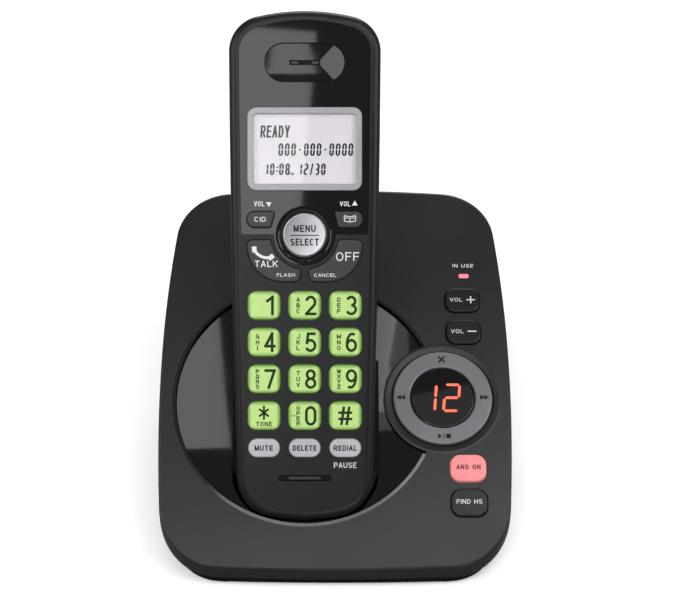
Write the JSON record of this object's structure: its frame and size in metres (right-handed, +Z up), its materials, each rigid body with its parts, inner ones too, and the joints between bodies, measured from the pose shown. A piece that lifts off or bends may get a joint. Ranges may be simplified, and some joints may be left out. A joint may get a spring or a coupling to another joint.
{
  "type": "answering machine",
  "caption": "Cordless telephone with answering machine base: sloping crowned base, round glossy dish, ring key round a message counter, and a leaning keypad handset.",
  "frame": {"origin": "middle of the whole object's footprint, on the surface that it stands on", "axes": "+Z up, +X to the right seen from the front, +Y to the back; the handset leans back in its pocket, 40 degrees from upright"},
  "size_m": [0.1168, 0.1305, 0.142],
  "materials": {
    "satin_black": "satin",
    "gloss_black": "gloss",
    "key_black": "satin",
    "key_red": "satin, lit from behind",
    "ring_grey": "satin paint",
    "key_glow": "translucent, lit from behind",
    "key_grey": "satin",
    "key_silver": "satin silver paint",
    "bezel_silver": "satin silver paint",
    "inner_black": "moulded",
    "window_tint": "tinted gloss",
    "lens_clear": "clear",
    "lcd_grey": "pale grey",
    "lamp_red": "lit",
    "board_green": "solder mask",
    "mat_rubber": "matt",
    "steel": "zinc plated",
    "contact_metal": "nickel plated",
    "battery_wrap": "shrink film"
  },
  "bodies": {
    "base": {"base_top_housing": "satin_black", "base_lower_housing": "satin_black", "rubber_feet": "mat_rubber", "base_screws": "steel", "message_counter": "inner_black", "counter_window": "window_tint", "in_use_lamp": "lamp_red", "panel_circuit_board": "board_green", "panel_screws": "steel", "cradle_dish": "gloss_black", "base_charging_contacts": "contact_metal", "base_circuit_board": "board_green", "base_speaker": "inner_black", "line_jack": "inner_black", "power_jack": "inner_black"},
    "ring_gimbal": {"ring_gimbal": "inner_black"},
    "ring_key": {"ring_key": "ring_grey"},
    "volume_up_key": {"volume_up_key": "key_black"},
    "volume_down_key": {"volume_down_key": "key_black"},
    "answer_on_key": {"answer_on_key": "key_red"},
    "find_handset_key": {"find_handset_key": "key_black"},
    "handset": {"handset_front_shell": "satin_black", "handset_back_shell": "satin_black", "handset_charging_contacts": "contact_metal", "battery_pack": "battery_wrap", "handset_screws": "steel", "handset_faceplate": "gloss_black", "display_bezel": "bezel_silver", "display_lens": "lens_clear", "lcd_module": "lcd_grey", "keypad_mat": "mat_rubber", "handset_circuit_board": "board_green", "earpiece_speaker": "inner_black", "handset_microphone": "inner_black"},
    "battery_door": {"battery_door": "satin_black"},
    "key_one": {"key_one": "key_glow"},
    "key_two": {"key_two": "key_glow"},
    "key_three": {"key_three": "key_glow"},
    "key_four": {"key_four": "key_glow"},
    "key_five": {"key_five": "key_glow"},
    "key_six": {"key_six": "key_glow"},
    "key_seven": {"key_seven": "key_glow"},
    "key_eight": {"key_eight": "key_glow"},
    "key_nine": {"key_nine": "key_glow"},
    "key_star": {"key_star": "key_glow"},
    "key_zero": {"key_zero": "key_glow"},
    "key_pound": {"key_pound": "key_glow"},
    "mute_key": {"mute_key": "key_grey"},
    "delete_key": {"delete_key": "key_grey"},
    "redial_key": {"redial_key": "key_grey"},
    "caller_id_key": {"caller_id_key": "key_black"},
    "directory_key": {"directory_key": "key_black"},
    "talk_key": {"talk_key": "key_black"},
    "off_key": {"off_key": "key_black"},
    "menu_key": {"menu_key": "key_silver"}
  },
  "joints": [
    {"name": "handset_lift", "type": "slide", "parent": "base", "child": "handset", "axis": [0, 0.6428, 0.766], "range_m": [0, 0.09]},
    {"name": "ring_tilt_sideways", "type": "hinge", "parent": "base", "child": "ring_gimbal", "pos_m": [0.0357, -0.01208, 0.03129], "axis": [0, 0.9115, 0.4113], "range_deg": [-1.5, 1.5], "stiffness_Nm_per_rad": 0.05},
    {"name": "ring_tilt_lengthways", "type": "hinge", "parent": "ring_gimbal", "child": "ring_key", "pos_m": [0.0357, -0.01208, 0.03129], "axis": [1, 0, 0], "range_deg": [-1.5, 1.5], "stiffness_Nm_per_rad": 0.05},
    {"name": "volume_up_key_press", "type": "slide", "parent": "base", "child": "volume_up_key", "axis": [0, 0.3599, -0.933], "range_m": [0, 0.0006], "stiffness_N_per_m": 300},
    {"name": "volume_down_key_press", "type": "slide", "parent": "base", "child": "volume_down_key", "axis": [0, 0.3772, -0.9261], "range_m": [0, 0.0006], "stiffness_N_per_m": 300},
    {"name": "answer_on_key_press", "type": "slide", "parent": "base", "child": "answer_on_key", "axis": [0, 0.4456, -0.8952], "range_m": [0, 0.0006], "stiffness_N_per_m": 300},
    {"name": "find_handset_key_press", "type": "slide", "parent": "base", "child": "find_handset_key", "axis": [0, 0.4616, -0.8871], "range_m": [0, 0.0006], "stiffness_N_per_m": 300},
    {"name": "battery_door_slide", "type": "slide", "parent": "handset", "child": "battery_door", "axis": [0, 0.6428, 0.766], "range_m": [0, 0.008]},
    {"name": "key_one_press", "type": "slide", "parent": "handset", "child": "key_one", "axis": [0, 0.766, -0.6428], "range_m": [0, 0.0006], "stiffness_N_per_m": 300},
    {"name": "key_two_press", "type": "slide", "parent": "handset", "child": "key_two", "axis": [0, 0.766, -0.6428], "range_m": [0, 0.0006], "stiffness_N_per_m": 300},
    {"name": "key_three_press", "type": "slide", "parent": "handset", "child": "key_three", "axis": [0, 0.766, -0.6428], "range_m": [0, 0.0006], "stiffness_N_per_m": 300},
    {"name": "key_four_press", "type": "slide", "parent": "handset", "child": "key_four", "axis": [0, 0.766, -0.6428], "range_m": [0, 0.0006], "stiffness_N_per_m": 300},
    {"name": "key_five_press", "type": "slide", "parent": "handset", "child": "key_five", "axis": [0, 0.766, -0.6428], "range_m": [0, 0.0006], "stiffness_N_per_m": 300},
    {"name": "key_six_press", "type": "slide", "parent": "handset", "child": "key_six", "axis": [0, 0.766, -0.6428], "range_m": [0, 0.0006], "stiffness_N_per_m": 300},
    {"name": "key_seven_press", "type": "slide", "parent": "handset", "child": "key_seven", "axis": [0, 0.766, -0.6428], "range_m": [0, 0.0006], "stiffness_N_per_m": 300},
    {"name": "key_eight_press", "type": "slide", "parent": "handset", "child": "key_eight", "axis": [0, 0.766, -0.6428], "range_m": [0, 0.0006], "stiffness_N_per_m": 300},
    {"name": "key_nine_press", "type": "slide", "parent": "handset", "child": "key_nine", "axis": [0, 0.766, -0.6428], "range_m": [0, 0.0006], "stiffness_N_per_m": 300},
    {"name": "key_star_press", "type": "slide", "parent": "handset", "child": "key_star", "axis": [0, 0.766, -0.6428], "range_m": [0, 0.0006], "stiffness_N_per_m": 300},
    {"name": "key_zero_press", "type": "slide", "parent": "handset", "child": "key_zero", "axis": [0, 0.766, -0.6428], "range_m": [0, 0.0006], "stiffness_N_per_m": 300},
    {"name": "key_pound_press", "type": "slide", "parent": "handset", "child": "key_pound", "axis": [0, 0.766, -0.6428], "range_m": [0, 0.0006], "stiffness_N_per_m": 300},
    {"name": "mute_key_press", "type": "slide", "parent": "handset", "child": "mute_key", "axis": [0, 0.766, -0.6428], "range_m": [0, 0.0006], "stiffness_N_per_m": 300},
    {"name": "delete_key_press", "type": "slide", "parent": "handset", "child": "delete_key", "axis": [0, 0.766, -0.6428], "range_m": [0, 0.0006], "stiffness_N_per_m": 300},
    {"name": "redial_key_press", "type": "slide", "parent": "handset", "child": "redial_key", "axis": [0, 0.766, -0.6428], "range_m": [0, 0.0006], "stiffness_N_per_m": 300},
    {"name": "caller_id_key_press", "type": "slide", "parent": "handset", "child": "caller_id_key", "axis": [0, 0.766, -0.6428], "range_m": [0, 0.0006], "stiffness_N_per_m": 300},
    {"name": "directory_key_press", "type": "slide", "parent": "handset", "child": "directory_key", "axis": [0, 0.766, -0.6428], "range_m": [0, 0.0006], "stiffness_N_per_m": 300},
    {"name": "talk_key_press", "type": "slide", "parent": "handset", "child": "talk_key", "axis": [0, 0.766, -0.6428], "range_m": [0, 0.0006], "stiffness_N_per_m": 300},
    {"name": "off_key_press", "type": "slide", "parent": "handset", "child": "off_key", "axis": [0, 0.766, -0.6428], "range_m": [0, 0.0006], "stiffness_N_per_m": 300},
    {"name": "menu_key_press", "type": "slide", "parent": "handset", "child": "menu_key", "axis": [0, 0.766, -0.6428], "range_m": [0, 0.0006], "stiffness_N_per_m": 300}
  ]
}
